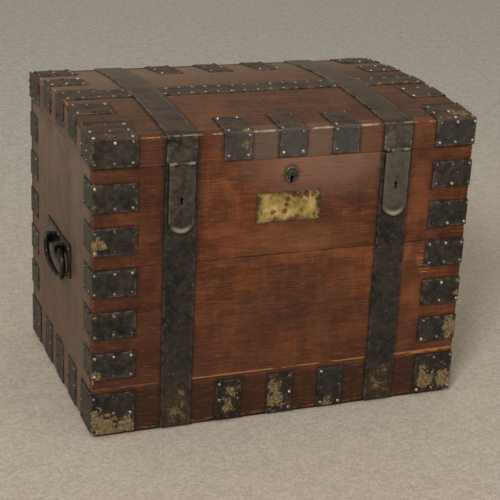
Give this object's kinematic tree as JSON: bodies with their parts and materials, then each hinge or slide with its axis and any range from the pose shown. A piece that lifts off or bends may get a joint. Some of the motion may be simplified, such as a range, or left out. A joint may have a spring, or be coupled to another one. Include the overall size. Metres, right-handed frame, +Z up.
{
  "type": "silver chest",
  "caption": "Large iron-bound oak chest with a shallow domed lid on strap hinges, two lock hasps, a box lock, a bare brass plate and a drop handle at each end.",
  "frame": {"origin": "centre of the underside of the base board, on the surface that the chest stands on", "axes": "+X to the right seen from the front, +Y towards the back, +Z up; the hasps and nameplate face -Y"},
  "size_m": [0.841, 0.5654, 0.6366],
  "materials": {
    "oak": "old waxed oak, worn",
    "oak_inside": "bare aged oak",
    "iron": "blackened wrought iron, worn",
    "hasp_iron": "smooth dark wrought iron",
    "brass": "aged brass, spotted"
  },
  "bodies": {
    "box": {"base_board": "oak_inside", "floor_board": "oak_inside", "front_board_lower": "oak", "front_board_middle": "oak", "front_board_upper": "oak", "back_board": "oak", "left_end_board": "oak", "right_end_board": "oak", "body_strap_left": "iron", "body_strap_right": "iron", "hinge_pin_left": "iron", "hinge_pin_right": "iron", "hasp_lock_case_left": "iron", "hasp_lock_case_right": "iron", "main_lock_case": "iron", "escutcheon": "iron", "nameplate": "brass", "handle_plate_left": "iron", "handle_plate_right": "iron", "edge_plate_left_1": "iron", "edge_plate_left_2": "iron", "edge_plate_left_3": "iron", "edge_plate_left_4": "iron", "edge_plate_left_5": "iron", "edge_plate_right_1": "iron", "edge_plate_right_2": "iron", "edge_plate_right_3": "iron", "edge_plate_right_4": "iron", "edge_plate_right_5": "iron", "bottom_corner_plate_left": "iron", "bottom_corner_plate_right": "iron", "bottom_front_plate_left": "iron", "bottom_front_plate_centre": "iron", "bottom_front_plate_right": "iron"},
    "lid": {"lid_front_rail": "oak", "lid_back_rail": "oak", "lid_left_rail": "oak", "lid_right_rail": "oak", "lid_top_board_front": "oak", "lid_top_board_back": "oak", "lid_strap_left": "iron", "lid_strap_right": "iron", "hasp_pin_left": "hasp_iron", "hasp_pin_right": "hasp_iron", "link_plate": "brass", "lid_front_plate_left": "iron", "lid_front_plate_centre": "iron", "lid_front_plate_right": "iron", "lid_corner_plate_left": "iron", "lid_corner_plate_right": "iron", "crest_strip_left": "iron", "crest_strip_centre": "iron", "crest_strip_right": "iron"},
    "hasp_left": {"hasp_left": "hasp_iron"},
    "hasp_right": {"hasp_right": "hasp_iron"},
    "bail_left": {"handle_bail_left": "iron"},
    "bail_right": {"handle_bail_right": "iron"},
    "main_bolt": {"main_lock_bolt": "iron"},
    "hasp_bolt_left": {"hasp_lock_bolt_left": "iron"},
    "hasp_bolt_right": {"hasp_lock_bolt_right": "iron"}
  },
  "joints": [
    {"name": "lid_hinge", "type": "hinge", "parent": "box", "child": "lid", "pos_m": [0, 0.2767, 0.55825], "axis": [-1, 0, 0], "range_deg": [0, 100]},
    {"name": "hasp_left_hinge", "type": "hinge", "parent": "lid", "child": "hasp_left", "pos_m": [-0.226, -0.2749, 0.5622], "axis": [-1, 0, 0], "range_deg": [0, 150]},
    {"name": "hasp_right_hinge", "type": "hinge", "parent": "lid", "child": "hasp_right", "pos_m": [0.226, -0.2749, 0.5622], "axis": [-1, 0, 0], "range_deg": [0, 150]},
    {"name": "bail_left_pivot", "type": "hinge", "parent": "box", "child": "bail_left", "pos_m": [-0.41, 0, 0.3211], "axis": [0, 1, 0], "range_deg": [-3, 183]},
    {"name": "bail_right_pivot", "type": "hinge", "parent": "box", "child": "bail_right", "pos_m": [0.41, 0, 0.3211], "axis": [0, -1, 0], "range_deg": [-3, 183]},
    {"name": "main_bolt_slide", "type": "slide", "parent": "box", "child": "main_bolt", "axis": [-1, 0, 0], "range_m": [0, 0.01]},
    {"name": "hasp_bolt_left_slide", "type": "slide", "parent": "box", "child": "hasp_bolt_left", "axis": [-1, 0, 0], "range_m": [0, 0.01]},
    {"name": "hasp_bolt_right_slide", "type": "slide", "parent": "box", "child": "hasp_bolt_right", "axis": [-1, 0, 0], "range_m": [0, 0.01]}
  ]
}
